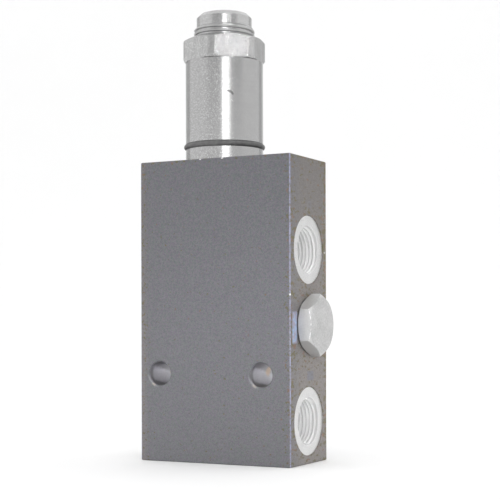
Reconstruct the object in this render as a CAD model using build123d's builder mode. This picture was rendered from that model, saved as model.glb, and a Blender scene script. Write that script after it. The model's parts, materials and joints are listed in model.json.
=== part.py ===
from build123d import *
import os
from math import cos, radians, sin, sqrt

os.makedirs("parts", exist_ok=True)

# Counterbalance valve with its parts in the body, in millimetres.
# The block stands on its base: Z = 0 is the base, X runs along the width between the
# two port faces, and Y runs along the depth, with the front face at -Y.
# The cartridge cavity is bored down from the top face, a little to the left of the middle.
# Levels are heights above the base. Round sizes are diameters, as on a drawing.

# Valve block
block_width = 60.0
block_depth = 30.0
block_height = 107.5
block_bevel = 0.5
cartridge_x = -3.5

# Ports: V1 to C1 straight through above the base, the load and return ports below the top
# face, from which the cavity is bored
line_level = 15.0
load_drop = 58.8
return_drop = 32.4

# G3/8 ports with a spotface for the fitting's seal
port_thread_d = 16.66
port_thread_depth = 12.0
port_tap_d = 14.95
port_tap_runout = 1.5
port_countersink = 0.3
spotface_d = 24.0
spotface_depth = 0.4
drilling_d = 10.0

# Two mounting holes from front to back
hole_level = 31.5
hole_left_inset = 8.0
hole_spacing = 40.7
hole_d = 8.5
hole_countersink = 0.4

# Stepped cavity
housing_thread_d = 24.0
housing_thread_depth = 11.7
housing_recess_d = 26.0
housing_recess_depth = 2.0
upper_land_d = 21.0
lower_land_d = 20.0
bush_bore_d = 15.0
bush_bore_depth = 14.0
pilot_drill_d = 9.0
lead_in = 0.5

# Places of the inner parts against the ports
bush_shoulder_drop = 11.0
seat_rise = 17.0
cage_top_rise = 13.0

# Clearances, each on the radius or on one face
thread_gap = 0.03
guide_gap = 0.03
seal_gap = 0.02
stop_gap = 0.05
rod_gap = 0.2
seal_width_ratio = 1.25
ring_sides = 8

# Spring housing, the bright sleeve above the block
sleeve_d = 28.0
sleeve_height = 35.6
sleeve_edge = 0.4
spring_chamber_d = 18.0
adjuster_land_d = 20.0
adjuster_land_top = 11.1
adjuster_land_length = 10.4
cap_ring_rise = 5.5
cap_groove_depth = 1.25
cap_ring_section = 1.95
cap_width_ratio = 1.03

# Lock nut, turned from round bar with six flats
nut_height = 8.9
nut_turned_d = 29.7
nut_flats = 27.0
nut_turn = 10.0
nut_base_d = 28.6
nut_face_d = 25.0
nut_top_chamfer = 1.1

# Adjusting screw
adjuster_thread_d = 22.0
adjuster_rise = 9.0
adjuster_length = 35.2
adjuster_end_d = 20.0
adjuster_end_length = 4.9
adjuster_end_chamfer = 1.5
adjuster_thread_chamfer = 0.8
adjuster_land = 10.2
adjuster_groove_inset = 0.8
adjuster_groove_depth = 1.6
socket_flats = 10.0
socket_depth = 8.0

# Springs and their seats
seat_disc_d = 17.2
seat_disc_thickness = 3.5
seat_spigot_d = 9.2
seat_spigot_length = 2.5
main_wire = 3.2
main_coil_d = 13.4
main_turns = 6
check_wire = 0.9
check_coil_d = 11.8
check_turns = 4
wire_sides = 6

# Poppet
poppet_nose_d = 6.0
poppet_head_d = 9.8
poppet_head_length = 4.0
poppet_neck_d = 7.2
poppet_neck_taper = 1.3
poppet_guide_d = 12.0
poppet_guide_length = 7.6
poppet_groove_inset = 2.5
poppet_groove_depth = 1.6
poppet_collar_d = 15.2
poppet_collar_thickness = 2.45
poppet_boss_d = 6.0
poppet_boss_length = 2.0
backup_width = 1.4

# Check seat, a sliding sleeve whose top edge is the poppet's seat
check_bore_d = 14.0
check_seat_length = 11.0
seat_bore_d = 8.0
seat_land = 0.3
check_groove_drop = 4.0
check_groove_depth = 1.3

# Valve cage, which holds the check seat and guides the poppet
cage_foot_height = 2.5
load_waist_d = 17.8
load_waist_top_drop = 8.5
return_waist_d = 17.2
cage_flange_height = 4.5
cage_groove_drop = 3.0
cage_groove_depth = 1.4
window_d = 7.0
windows_across = 2

# Pilot bush and piston
bush_flange_height = 4.0
bush_length = 17.5
bush_groove_drop = 9.0
bush_groove_depth = 1.3
bush_counterbore_d = 10.0
bush_counterbore_depth = 1.8
pilot_piston_d = 8.0
pilot_collar_d = 9.6
pilot_collar_thickness = 1.5
pilot_rod_d = 4.0
pilot_land_length = 14.0
pilot_groove_drop = 8.0
pilot_groove_depth = 1.2

# Hex plug in the spare load port
plug_thread_length = 10.0
plug_collar_d = 22.0
plug_collar_chamfer = 0.35
plug_collar_thickness = 0.55
plug_head_height = 4.45
plug_flats = 19.0
plug_face_d = 18.7
plug_face_chamfer = 0.95
plug_seal_d = 21.0
plug_seal_bore_d = 17.0
plug_seal_thickness = 1.0
plug_recess_d = 22.5
plug_recess_depth = 0.5

# Levels worked out from the sizes above
load_level = block_height - load_drop
return_level = block_height - return_drop
bush_shoulder = load_level - bush_shoulder_drop
cage_foot = bush_shoulder + bush_flange_height
seat_level = load_level + seat_rise
cage_top = return_level + cage_top_rise
thread_end = block_height - housing_recess_depth - housing_thread_depth
sleeve_top = block_height + sleeve_height
nut_top = sleeve_top + nut_height
adjuster_top = nut_top + adjuster_rise
adjuster_base = adjuster_top - adjuster_length
land_top = sleeve_top - adjuster_land_top
land_base = land_top - adjuster_land_length
check_seat_top = seat_level - stop_gap
check_seat_base = check_seat_top - check_seat_length
poppet_collar_base = cage_top + stop_gap
poppet_collar_top = poppet_collar_base + poppet_collar_thickness
main_spring_base = poppet_collar_top + seat_disc_thickness
main_spring_top = adjuster_base - seat_disc_thickness
cap_ring_level = block_height + cap_ring_rise
plug_level = load_level

# The cartridge's pieces are turned about one axis. Their half sections are drawn with
# the radius along the plane's X and the height along its Y.
cartridge_plane = Plane(origin=(cartridge_x, 0, 0), x_dir=(1, 0, 0), z_dir=(0, -1, 0))
cartridge_axis = Axis((cartridge_x, 0, 0), (0, 0, 1))


def port_plane(side, level):
    """Plane through a port's axis: X is the radius, Y runs out of the block's side face."""
    return Plane(origin=(side * block_width / 2, 0, level), x_dir=(0, 0, 1), z_dir=(0, side, 0))


def port_axis(side, level):
    """Axis of a port, from the block's side face outwards."""
    return Axis((side * block_width / 2, 0, level), (side, 0, 0))


def half_section(plane, points):
    """Closed outline from (radius, height) points, ready to be revolved."""
    with BuildSketch(plane) as section:
        with BuildLine():
            Polyline(*points, close=True)
        make_face()
    return section.sketch


def groove(level, inner_radius, outer_radius, width_ratio=seal_width_ratio):
    """Cuts a square groove round the cartridge axis for a ring of that depth."""
    width = width_ratio * (outer_radius - inner_radius)
    with BuildSketch(cartridge_plane) as section:
        with Locations((inner_radius, level)):
            Rectangle(outer_radius - inner_radius, width, align=(Align.MIN, Align.CENTER))
    revolve(section.sketch, axis=cartridge_axis, mode=Mode.SUBTRACT)


def groove_with_backup(level, inner_radius, outer_radius):
    """Cuts a groove that holds a ring and, above it, a backup ring."""
    width = seal_width_ratio * (outer_radius - inner_radius)
    with BuildSketch(cartridge_plane) as section:
        with Locations((inner_radius, level - width / 2)):
            Rectangle(outer_radius - inner_radius, width + backup_width, align=Align.MIN)
    revolve(section.sketch, axis=cartridge_axis, mode=Mode.SUBTRACT)


def save_o_ring(label, level, inner_radius, outer_radius):
    """O-ring as it lies between its groove's floor and the bore, drawn with a many-sided section."""
    with BuildPart() as ring:
        with BuildSketch(cartridge_plane):
            with Locations(((inner_radius + outer_radius) / 2, level)):
                RegularPolygon(
                    (outer_radius - inner_radius) / 2 - seal_gap,
                    ring_sides,
                    major_radius=False,
                    rotation=180 / ring_sides,
                )
        revolve(axis=cartridge_axis)
    ring.part.label = label
    export_step(ring.part, f"parts/{label}.step")


def save_backup_ring(label, ring_level, inner_radius, outer_radius):
    """Flat ring that lies above the O-ring in the same groove."""
    low = ring_level + seal_width_ratio * (outer_radius - inner_radius) / 2
    with BuildPart() as ring:
        with BuildSketch(cartridge_plane):
            with Locations((inner_radius + seal_gap, low)):
                Rectangle(
                    outer_radius - inner_radius - 2 * seal_gap,
                    backup_width - seal_gap,
                    align=Align.MIN,
                )
        revolve(axis=cartridge_axis)
    ring.part.label = label
    export_step(ring.part, f"parts/{label}.step")


def save_spring(label, base, top, coil_diameter, wire, turns):
    """Helical spring with its ends ground flat, its wire drawn many-sided."""
    start = Plane(origin=(cartridge_x + coil_diameter / 2, 0, base), z_dir=(0, 1, 0))
    with BuildPart() as spring:
        with BuildLine(Plane(origin=(cartridge_x, 0, base))):
            Helix(pitch=(top - base) / turns, height=top - base, radius=coil_diameter / 2)
        with BuildSketch(start):
            RegularPolygon(wire / 2, wire_sides)
        sweep(is_frenet=True)
        split(bisect_by=Plane.XY.offset(base), keep=Keep.TOP)
        split(bisect_by=Plane.XY.offset(top), keep=Keep.BOTTOM)
    spring.part.label = label
    export_step(spring.part, f"parts/{label}.step")


def cut_port(side, level, mouth_d, recess_depth):
    """Port from one side face: recess, countersink, thread bore and drilling."""
    mouth = -recess_depth
    thread_radius = port_thread_d / 2
    tap_radius = port_tap_d / 2
    drilling_radius = drilling_d / 2
    thread_floor = mouth - port_thread_depth
    tap_floor = thread_floor - port_tap_runout
    # The drill point's cone runs from the tapping drill down to the drilling
    cone_end = tap_floor - (tap_radius - drilling_radius) / sqrt(3)
    reach = side * cartridge_x - block_width / 2
    section = half_section(
        port_plane(side, level),
        [
            (0, 0),
            (mouth_d / 2, 0),
            (mouth_d / 2, mouth),
            (thread_radius + port_countersink, mouth),
            (thread_radius, mouth - port_countersink),
            (thread_radius, thread_floor),
            (tap_radius, thread_floor),
            (tap_radius, tap_floor),
            (drilling_radius, cone_end),
            (drilling_radius, reach),
            (0, reach),
        ],
    )
    revolve(section, axis=port_axis(side, level), mode=Mode.SUBTRACT)


# Valve block: sawn bar with bevelled edges, the stepped cavity, five ports and two holes
with BuildPart() as valve_block:
    Box(block_width, block_depth, block_height, align=(Align.CENTER, Align.CENTER, Align.MIN))
    chamfer(valve_block.edges(), block_bevel)
    section = half_section(
        cartridge_plane,
        [
            (0, block_height),
            (housing_recess_d / 2, block_height),
            (housing_recess_d / 2, block_height - housing_recess_depth),
            (housing_thread_d / 2, block_height - housing_recess_depth),
            (housing_thread_d / 2, thread_end),
            (upper_land_d / 2, thread_end - (housing_thread_d - upper_land_d) / 2),
            (upper_land_d / 2, seat_level + (upper_land_d - lower_land_d) / 2),
            (lower_land_d / 2, seat_level),
            (lower_land_d / 2, bush_shoulder),
            (bush_bore_d / 2 + lead_in, bush_shoulder),
            (bush_bore_d / 2, bush_shoulder - lead_in),
            (bush_bore_d / 2, bush_shoulder - bush_bore_depth),
            (pilot_drill_d / 2, bush_shoulder - bush_bore_depth),
            (pilot_drill_d / 2, line_level),
            (0, line_level),
        ],
    )
    revolve(section, axis=cartridge_axis, mode=Mode.SUBTRACT)
    cut_port(1, return_level, spotface_d, spotface_depth)
    cut_port(1, line_level, spotface_d, spotface_depth)
    cut_port(1, plug_level, plug_recess_d, plug_recess_depth)
    cut_port(-1, line_level, spotface_d, spotface_depth)
    cut_port(-1, load_level, spotface_d, spotface_depth)
    hole_mid = -block_width / 2 + hole_left_inset + hole_spacing / 2
    for face_y, outward in ((-block_depth / 2, -1), (block_depth / 2, 1)):
        face = Plane(origin=(hole_mid, face_y, hole_level), x_dir=(1, 0, 0), z_dir=(0, outward, 0))
        with Locations(face):
            with GridLocations(hole_spacing, 0, 2, 1):
                CounterSinkHole(
                    radius=hole_d / 2,
                    counter_sink_radius=hole_d / 2 + hole_countersink,
                    depth=block_depth / 2,
                    counter_sink_angle=90,
                )
valve_block.part.label = "valve_block"
export_step(valve_block.part, "parts/valve_block.step")


# Spring housing: the sleeve stands on the block's top face on its threaded stub
housing_outer = sleeve_d / 2
housing_screwed = housing_thread_d / 2 - thread_gap
# The ring under the sleeve's shoulder fills the recess from this relief outwards
housing_relief = housing_recess_d / 2 - housing_recess_depth
cap_ring_inner = housing_outer - cap_groove_depth
with BuildPart() as spring_housing:
    section = half_section(
        cartridge_plane,
        [
            (spring_chamber_d / 2, cage_top),
            (upper_land_d / 2 - guide_gap, cage_top),
            (upper_land_d / 2 - guide_gap, thread_end + lead_in),
            (housing_screwed - lead_in, thread_end + lead_in),
            (housing_screwed, thread_end + 2 * lead_in),
            (housing_screwed, block_height - housing_recess_depth),
            (housing_relief, block_height - housing_recess_depth),
            (housing_relief, block_height),
            (housing_outer, block_height),
            (housing_outer, sleeve_top - sleeve_edge),
            (housing_outer - sleeve_edge, sleeve_top),
            (adjuster_thread_d / 2, sleeve_top),
            (adjuster_thread_d / 2, land_top),
            (adjuster_land_d / 2, land_top),
            (adjuster_land_d / 2, land_base),
            (spring_chamber_d / 2, land_base),
        ],
    )
    revolve(section, axis=cartridge_axis)
    groove(cap_ring_level, cap_ring_inner, cap_ring_inner + cap_ring_section, cap_width_ratio)
spring_housing.part.label = "spring_housing"
export_step(spring_housing.part, "parts/spring_housing.step")


# Lock nut: turned with a chamfer at each end, then six flats are milled on it
nut_outer = nut_turned_d / 2
nut_base_chamfer = (nut_turned_d - nut_base_d) / 2
with BuildPart() as lock_nut:
    section = half_section(
        cartridge_plane,
        [
            (adjuster_thread_d / 2, sleeve_top),
            (nut_base_d / 2, sleeve_top),
            (nut_outer, sleeve_top + nut_base_chamfer),
            (nut_outer, nut_top - nut_top_chamfer),
            (nut_face_d / 2, nut_top),
            (adjuster_thread_d / 2, nut_top),
        ],
    )
    revolve(section, axis=cartridge_axis)
    # The polygon starts with a corner on X, which is half a flat from the flat's normal
    with BuildSketch(Plane(origin=(cartridge_x, 0, sleeve_top))):
        RegularPolygon(nut_flats / 2, 6, major_radius=False, rotation=nut_turn - 180 / 6)
    extrude(amount=nut_height, mode=Mode.INTERSECT)
lock_nut.part.label = "lock_nut"
export_step(lock_nut.part, "parts/lock_nut.step")


# Adjusting screw: plain end and hex socket on top, thread, and a sealed land below
screw_outer = adjuster_thread_d / 2 - thread_gap
screw_land = adjuster_land_d / 2 - guide_gap
screw_end = adjuster_end_d / 2
screw_thread_base = adjuster_base + adjuster_land
screw_thread_top = adjuster_top - adjuster_end_length
adjuster_groove_level = (
    adjuster_base + adjuster_groove_inset + seal_width_ratio * adjuster_groove_depth / 2
)
with BuildPart() as adjusting_screw:
    section = half_section(
        cartridge_plane,
        [
            (0, adjuster_base),
            (screw_land - lead_in, adjuster_base),
            (screw_land, adjuster_base + lead_in),
            (screw_land, screw_thread_base),
            (screw_outer, screw_thread_base + screw_outer - screw_land),
            (screw_outer, screw_thread_top - adjuster_thread_chamfer),
            (screw_end, screw_thread_top),
            (screw_end, adjuster_top - adjuster_end_chamfer),
            (screw_end - adjuster_end_chamfer, adjuster_top),
            (0, adjuster_top),
        ],
    )
    revolve(section, axis=cartridge_axis)
    groove(adjuster_groove_level, adjuster_land_d / 2 - adjuster_groove_depth, adjuster_land_d / 2)
    with BuildSketch(Plane(origin=(cartridge_x, 0, adjuster_top))):
        RegularPolygon(socket_flats / 2, 6, major_radius=False)
    extrude(amount=-socket_depth, mode=Mode.SUBTRACT)
adjusting_screw.part.label = "adjusting_screw"
export_step(adjusting_screw.part, "parts/adjusting_screw.step")


# Spring seats: discs with a spigot that centres the main spring
with BuildPart() as upper_spring_seat:
    section = half_section(
        cartridge_plane,
        [
            (0, main_spring_top - seat_spigot_length),
            (seat_spigot_d / 2, main_spring_top - seat_spigot_length),
            (seat_spigot_d / 2, main_spring_top),
            (seat_disc_d / 2, main_spring_top),
            (seat_disc_d / 2, adjuster_base),
            (0, adjuster_base),
        ],
    )
    revolve(section, axis=cartridge_axis)
upper_spring_seat.part.label = "upper_spring_seat"
export_step(upper_spring_seat.part, "parts/upper_spring_seat.step")

with BuildPart() as lower_spring_seat:
    section = half_section(
        cartridge_plane,
        [
            (poppet_boss_d / 2 + stop_gap, poppet_collar_top),
            (seat_disc_d / 2, poppet_collar_top),
            (seat_disc_d / 2, main_spring_base),
            (seat_spigot_d / 2, main_spring_base),
            (seat_spigot_d / 2, main_spring_base + seat_spigot_length),
            (0, main_spring_base + seat_spigot_length),
            (0, poppet_collar_top + poppet_boss_length + stop_gap),
            (poppet_boss_d / 2 + stop_gap, poppet_collar_top + poppet_boss_length + stop_gap),
        ],
    )
    revolve(section, axis=cartridge_axis)
lower_spring_seat.part.label = "lower_spring_seat"
export_step(lower_spring_seat.part, "parts/lower_spring_seat.step")

save_spring("main_spring", main_spring_base, main_spring_top, main_coil_d, main_wire, main_turns)


# Valve cage: windows to the load and return ports, the check bore below, the poppet's guide above
cage_land = lower_land_d / 2 - guide_gap
cage_flange = upper_land_d / 2 - guide_gap
load_waist_top = seat_level - load_waist_top_drop
with BuildPart() as valve_cage:
    section = half_section(
        cartridge_plane,
        [
            (check_bore_d / 2, cage_foot),
            (cage_land, cage_foot),
            (cage_land, cage_foot + cage_foot_height),
            (load_waist_d / 2, cage_foot + cage_foot_height),
            (load_waist_d / 2, load_waist_top),
            (cage_land, load_waist_top),
            (cage_land, seat_level),
            (return_waist_d / 2, seat_level),
            (return_waist_d / 2, cage_top - cage_flange_height),
            (cage_flange, cage_top - cage_flange_height),
            (cage_flange, cage_top),
            (poppet_guide_d / 2, cage_top),
            (poppet_guide_d / 2, seat_level),
            (check_bore_d / 2, seat_level),
        ],
    )
    revolve(section, axis=cartridge_axis)
    groove_with_backup(
        seat_level - cage_groove_drop - backup_width,
        lower_land_d / 2 - cage_groove_depth,
        lower_land_d / 2,
    )
    for level in (load_level, return_level):
        for step in range(windows_across):
            turn = radians(180 / windows_across * step)
            across = Plane(origin=(cartridge_x, 0, level), z_dir=(cos(turn), sin(turn), 0))
            with BuildSketch(across):
                Circle(window_d / 2)
            extrude(amount=upper_land_d / 2, both=True, mode=Mode.SUBTRACT)
valve_cage.part.label = "valve_cage"
export_step(valve_cage.part, "parts/valve_cage.step")


# Poppet: a cone that closes the check seat, a thin neck, and a sealed guide with its stop collar
poppet_nose = check_seat_top - seat_land + sqrt(2) * stop_gap - (seat_bore_d - poppet_nose_d) / 2
poppet_head = poppet_nose + (poppet_head_d - poppet_nose_d) / 2
poppet_shoulder = poppet_nose + poppet_head_length
poppet_guide = poppet_guide_d / 2 - guide_gap
guide_base = cage_top - poppet_guide_length
poppet_groove_level = (
    cage_top - poppet_groove_inset - backup_width - seal_width_ratio * poppet_groove_depth / 2
)
with BuildPart() as poppet:
    section = half_section(
        cartridge_plane,
        [
            (0, poppet_nose),
            (poppet_nose_d / 2, poppet_nose),
            (poppet_head_d / 2, poppet_head),
            (poppet_head_d / 2, poppet_shoulder),
            (poppet_neck_d / 2, poppet_shoulder + poppet_neck_taper),
            (poppet_neck_d / 2, guide_base - poppet_neck_taper),
            (poppet_guide, guide_base),
            (poppet_guide, poppet_collar_base),
            (poppet_collar_d / 2, poppet_collar_base),
            (poppet_collar_d / 2, poppet_collar_top),
            (poppet_boss_d / 2, poppet_collar_top),
            (poppet_boss_d / 2, poppet_collar_top + poppet_boss_length),
            (0, poppet_collar_top + poppet_boss_length),
        ],
    )
    revolve(section, axis=cartridge_axis)
    groove_with_backup(
        poppet_groove_level, poppet_guide_d / 2 - poppet_groove_depth, poppet_guide_d / 2
    )
poppet.part.label = "poppet"
export_step(poppet.part, "parts/poppet.step")


# Check seat: slides down against its light spring when oil flows freely to the load
check_outer = check_bore_d / 2 - guide_gap
check_groove_level = check_seat_top - check_groove_drop
with BuildPart() as check_seat:
    section = half_section(
        cartridge_plane,
        [
            (seat_bore_d / 2, check_seat_base),
            (check_outer, check_seat_base),
            (check_outer, check_seat_top),
            (seat_bore_d / 2 + seat_land, check_seat_top),
            (seat_bore_d / 2, check_seat_top - seat_land),
        ],
    )
    revolve(section, axis=cartridge_axis)
    groove(check_groove_level, check_bore_d / 2 - check_groove_depth, check_bore_d / 2)
check_seat.part.label = "check_seat"
export_step(check_seat.part, "parts/check_seat.step")

save_spring("check_spring", cage_foot, check_seat_base, check_coil_d, check_wire, check_turns)


# Pilot bush: its flange stands on the cavity's shoulder and carries the cage
bush_barrel = bush_bore_d / 2 - guide_gap
with BuildPart() as pilot_bush:
    section = half_section(
        cartridge_plane,
        [
            (pilot_piston_d / 2, cage_foot - bush_length),
            (bush_barrel - lead_in, cage_foot - bush_length),
            (bush_barrel, cage_foot - bush_length + lead_in),
            (bush_barrel, bush_shoulder),
            (cage_land, bush_shoulder),
            (cage_land, cage_foot),
            (bush_counterbore_d / 2, cage_foot),
            (bush_counterbore_d / 2, cage_foot - bush_counterbore_depth),
            (pilot_piston_d / 2, cage_foot - bush_counterbore_depth),
        ],
    )
    revolve(section, axis=cartridge_axis)
    groove(cage_foot - bush_groove_drop, bush_bore_d / 2 - bush_groove_depth, bush_bore_d / 2)
pilot_bush.part.label = "pilot_bush"
export_step(pilot_bush.part, "parts/pilot_bush.step")


# Pilot piston: line pressure lifts it, and its rod lifts the poppet through the check seat
pilot_land = pilot_piston_d / 2 - guide_gap
pilot_collar_base = cage_foot - bush_counterbore_depth + stop_gap
pilot_collar_top = pilot_collar_base + pilot_collar_thickness
pilot_base = pilot_collar_base - pilot_land_length
pilot_groove_level = pilot_collar_base - pilot_groove_drop
with BuildPart() as pilot_piston:
    section = half_section(
        cartridge_plane,
        [
            (0, pilot_base),
            (pilot_land, pilot_base),
            (pilot_land, pilot_collar_base),
            (pilot_collar_d / 2, pilot_collar_base),
            (pilot_collar_d / 2, pilot_collar_top),
            (pilot_rod_d / 2, pilot_collar_top),
            (pilot_rod_d / 2, poppet_nose - rod_gap),
            (0, poppet_nose - rod_gap),
        ],
    )
    revolve(section, axis=cartridge_axis)
    groove_with_backup(
        pilot_groove_level, pilot_piston_d / 2 - pilot_groove_depth, pilot_piston_d / 2
    )
pilot_piston.part.label = "pilot_piston"
export_step(pilot_piston.part, "parts/pilot_piston.step")


# Hex plug: threaded stem, round collar chamfered on its underside and a chamfered hexagon,
# with a bonded seal under it
plug_seat = -plug_recess_depth
plug_collar_base = plug_seat + plug_seal_thickness
plug_head_base = plug_collar_base + plug_collar_thickness
plug_head_top = plug_head_base + plug_head_height
plug_side_plane = port_plane(1, plug_level)
plug_corner = plug_flats / sqrt(3)
with BuildPart() as hex_plug:
    with BuildSketch(Plane(origin=(block_width / 2 + plug_head_base, 0, plug_level), z_dir=(1, 0, 0))):
        RegularPolygon(plug_flats / 2, 6, major_radius=False)
    extrude(amount=plug_head_height)
    section = half_section(
        plug_side_plane,
        [
            (0, plug_head_base),
            (plug_corner, plug_head_base),
            (plug_corner, plug_head_top - plug_face_chamfer),
            (plug_face_d / 2, plug_head_top),
            (0, plug_head_top),
        ],
    )
    revolve(section, axis=port_axis(1, plug_level), mode=Mode.INTERSECT)
    section = half_section(
        plug_side_plane,
        [
            (0, plug_seat - plug_thread_length),
            (port_thread_d / 2 - thread_gap - lead_in, plug_seat - plug_thread_length),
            (port_thread_d / 2 - thread_gap, plug_seat - plug_thread_length + lead_in),
            (port_thread_d / 2 - thread_gap, plug_collar_base),
            (plug_collar_d / 2 - plug_collar_chamfer, plug_collar_base),
            (plug_collar_d / 2, plug_collar_base + plug_collar_chamfer),
            (plug_collar_d / 2, plug_head_base),
            (0, plug_head_base),
        ],
    )
    revolve(section, axis=port_axis(1, plug_level))
hex_plug.part.label = "hex_plug"
export_step(hex_plug.part, "parts/hex_plug.step")

with BuildPart() as plug_seal:
    section = half_section(
        plug_side_plane,
        [
            (plug_seal_bore_d / 2, plug_seat),
            (plug_seal_d / 2, plug_seat),
            (plug_seal_d / 2, plug_collar_base),
            (plug_seal_bore_d / 2, plug_collar_base),
        ],
    )
    revolve(section, axis=port_axis(1, plug_level))
plug_seal.part.label = "plug_seal"
export_step(plug_seal.part, "parts/plug_seal.step")


# Seals
save_o_ring("cap_o_ring", cap_ring_level, cap_ring_inner, cap_ring_inner + cap_ring_section)
save_o_ring(
    "housing_o_ring",
    block_height - housing_recess_depth / 2,
    housing_relief,
    housing_recess_d / 2,
)
save_o_ring(
    "adjuster_o_ring",
    adjuster_groove_level,
    adjuster_land_d / 2 - adjuster_groove_depth,
    adjuster_land_d / 2,
)
save_o_ring(
    "check_seat_o_ring", check_groove_level, check_bore_d / 2 - check_groove_depth, check_bore_d / 2
)
save_o_ring(
    "bush_o_ring",
    cage_foot - bush_groove_drop,
    bush_bore_d / 2 - bush_groove_depth,
    bush_bore_d / 2,
)

# Seals that have a backup ring above them: name, level, bore and groove depth
backed_seals = [
    ("poppet", poppet_groove_level, poppet_guide_d, poppet_groove_depth),
    ("cage", seat_level - cage_groove_drop - backup_width, lower_land_d, cage_groove_depth),
    ("pilot", pilot_groove_level, pilot_piston_d, pilot_groove_depth),
]
for name, level, bore_d, depth in backed_seals:
    save_o_ring(f"{name}_o_ring", level, bore_d / 2 - depth, bore_d / 2)
    save_backup_ring(f"{name}_backup_ring", level, bore_d / 2 - depth, bore_d / 2)
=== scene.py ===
# %% [markdown]
# # An in-line counterbalance valve, dressed in Blender
# The valve holds a load on a hydraulic cylinder. A dark steel block carries the oil ports,
# and a bright cartridge on top holds the spring that sets the pressure. The packed CAD model
# gives every size and place. This lesson builds the visible surfaces on it, one piece at a
# time, and gives each its finish.
#
# The first step loads that model and keeps its nodes and its record.

# %% Load the packed model
import json
from math import cos, pi, radians, sin, sqrt

import bmesh
import bpy
from mathutils import Matrix, Vector


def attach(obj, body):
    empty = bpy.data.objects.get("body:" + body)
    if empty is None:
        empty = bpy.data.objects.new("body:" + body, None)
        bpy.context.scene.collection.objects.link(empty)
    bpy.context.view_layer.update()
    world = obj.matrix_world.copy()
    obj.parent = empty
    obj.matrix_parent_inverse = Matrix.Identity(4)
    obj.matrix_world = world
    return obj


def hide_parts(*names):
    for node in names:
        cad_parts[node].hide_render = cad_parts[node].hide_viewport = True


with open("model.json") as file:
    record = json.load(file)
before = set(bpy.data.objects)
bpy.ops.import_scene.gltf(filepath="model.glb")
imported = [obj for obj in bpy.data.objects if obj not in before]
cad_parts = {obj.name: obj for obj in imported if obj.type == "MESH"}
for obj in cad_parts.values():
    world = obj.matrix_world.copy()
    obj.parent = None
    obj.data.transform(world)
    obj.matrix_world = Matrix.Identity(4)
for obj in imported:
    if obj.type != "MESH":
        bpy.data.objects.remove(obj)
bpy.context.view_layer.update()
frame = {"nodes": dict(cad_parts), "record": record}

mm = 0.001


# %% [markdown]
# ## Sizes
# Blender works in metres and a workshop drawing in millimetres, so each size is written in
# millimetres times `mm`. The block stands on its base at height zero. The cartridge stands on
# its own axis, a little left of the middle of the block. The depths of the ports and the
# heights on the plug are measured from the side face.

# %% Sizes of the block, the ports and the cartridge
block_width, block_depth, block_height = 60.0 * mm, 30.0 * mm, 107.5 * mm
block_bevel = 0.5 * mm
cartridge_x = -3.5 * mm
line_level, load_level, return_level = 15.0 * mm, 48.7 * mm, 75.1 * mm

port_thread_radius = 8.33 * mm
port_tap_radius = 7.475 * mm
spotface_radius, spotface_depth = 12.0 * mm, 0.4 * mm
port_countersink = 0.15 * mm
plug_recess_radius, plug_recess_depth = 9.75 * mm, 0.5 * mm
plug_flats = 19.0 * mm
plug_corner = plug_flats / sqrt(3)
plug_base, plug_face = 0.35 * mm, 5.25 * mm
plug_base_radius, plug_base_chamfer = 9.6 * mm, 0.7 * mm
plug_face_radius, plug_chamfer = 9.35 * mm, 0.95 * mm

hole_level = 31.5 * mm
hole_places = (-22.0 * mm, 18.7 * mm)
hole_radius = 4.25 * mm
hole_edge = 0.4 * mm

ring_level, ring_middle, ring_radius = 113.0 * mm, 13.72 * mm, 0.955 * mm
sleeve_radius = 14.0 * mm
sleeve_top = 143.5 * mm
nut_radius = 14.85 * mm
nut_top = 152.0 * mm
screw_thread_radius = 11.0 * mm
screw_end_radius = 10.0 * mm
screw_thread_top = 156.1 * mm
screw_top = 161.0 * mm
print("block", [round(side / mm, 1) for side in (block_width, block_depth, block_height)], "mm")


# %% [markdown]
# ## Shader maths as plain arithmetic
# A finish is a tree of nodes, and a long tree written node by node is hard to read. One small
# class wraps a node's output and gives it the usual operators, so `1 - mask` adds its own Math
# node. Every other node comes from its `node` method: settings first, then sockets.

# %% A socket that can be added and multiplied
class Wire:
    """A node's output in a tree, with arithmetic on it."""

    def __init__(self, tree, output=None):
        self.tree = tree
        self.output = output

    def node(self, kind, settings=None, sockets=None, take=0):
        """Adds a node, applies its settings, fills its sockets and returns one of its outputs."""
        made = self.tree.nodes.new(kind)
        for name, value in (settings or {}).items():
            setattr(made, name, value)
        for name, value in (sockets or {}).items():
            if isinstance(value, Wire):
                self.tree.links.new(value.output, made.inputs[name])
            else:
                made.inputs[name].default_value = value
        return Wire(self.tree, made.outputs[take] if made.outputs else None)

    def maths(self, operation, *values):
        """Adds a Math node on the given values."""
        return self.node("ShaderNodeMath", {"operation": operation}, dict(enumerate(values)))

    def __add__(self, other):
        return self.maths("ADD", self, other)

    __radd__ = __add__

    def __sub__(self, other):
        return self.maths("SUBTRACT", self, other)

    def __rsub__(self, other):
        return self.maths("SUBTRACT", other, self)

    def __mul__(self, other):
        return self.maths("MULTIPLY", self, other)

    __rmul__ = __mul__

    def __truediv__(self, other):
        return self.maths("DIVIDE", self, other)

    def __rtruediv__(self, other):
        return self.maths("DIVIDE", other, self)

    def __abs__(self):
        return self.maths("ABSOLUTE", self)

    def ramp(self, low, high):
        """0 up to low, 1 from high on, and a smooth rise between; it falls if low is larger."""
        sockets = {"Value": self, "From Min": low, "From Max": high}
        return self.node("ShaderNodeMapRange", {"interpolation_type": "SMOOTHSTEP"}, sockets)

    def split(self):
        """The three parts of a vector."""
        parts = self.node("ShaderNodeSeparateXYZ", None, {0: self}).output.node.outputs
        return [Wire(self.tree, part) for part in parts]


print("Wire has", len([name for name in vars(Wire) if name.startswith("__")]), "special methods")


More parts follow.
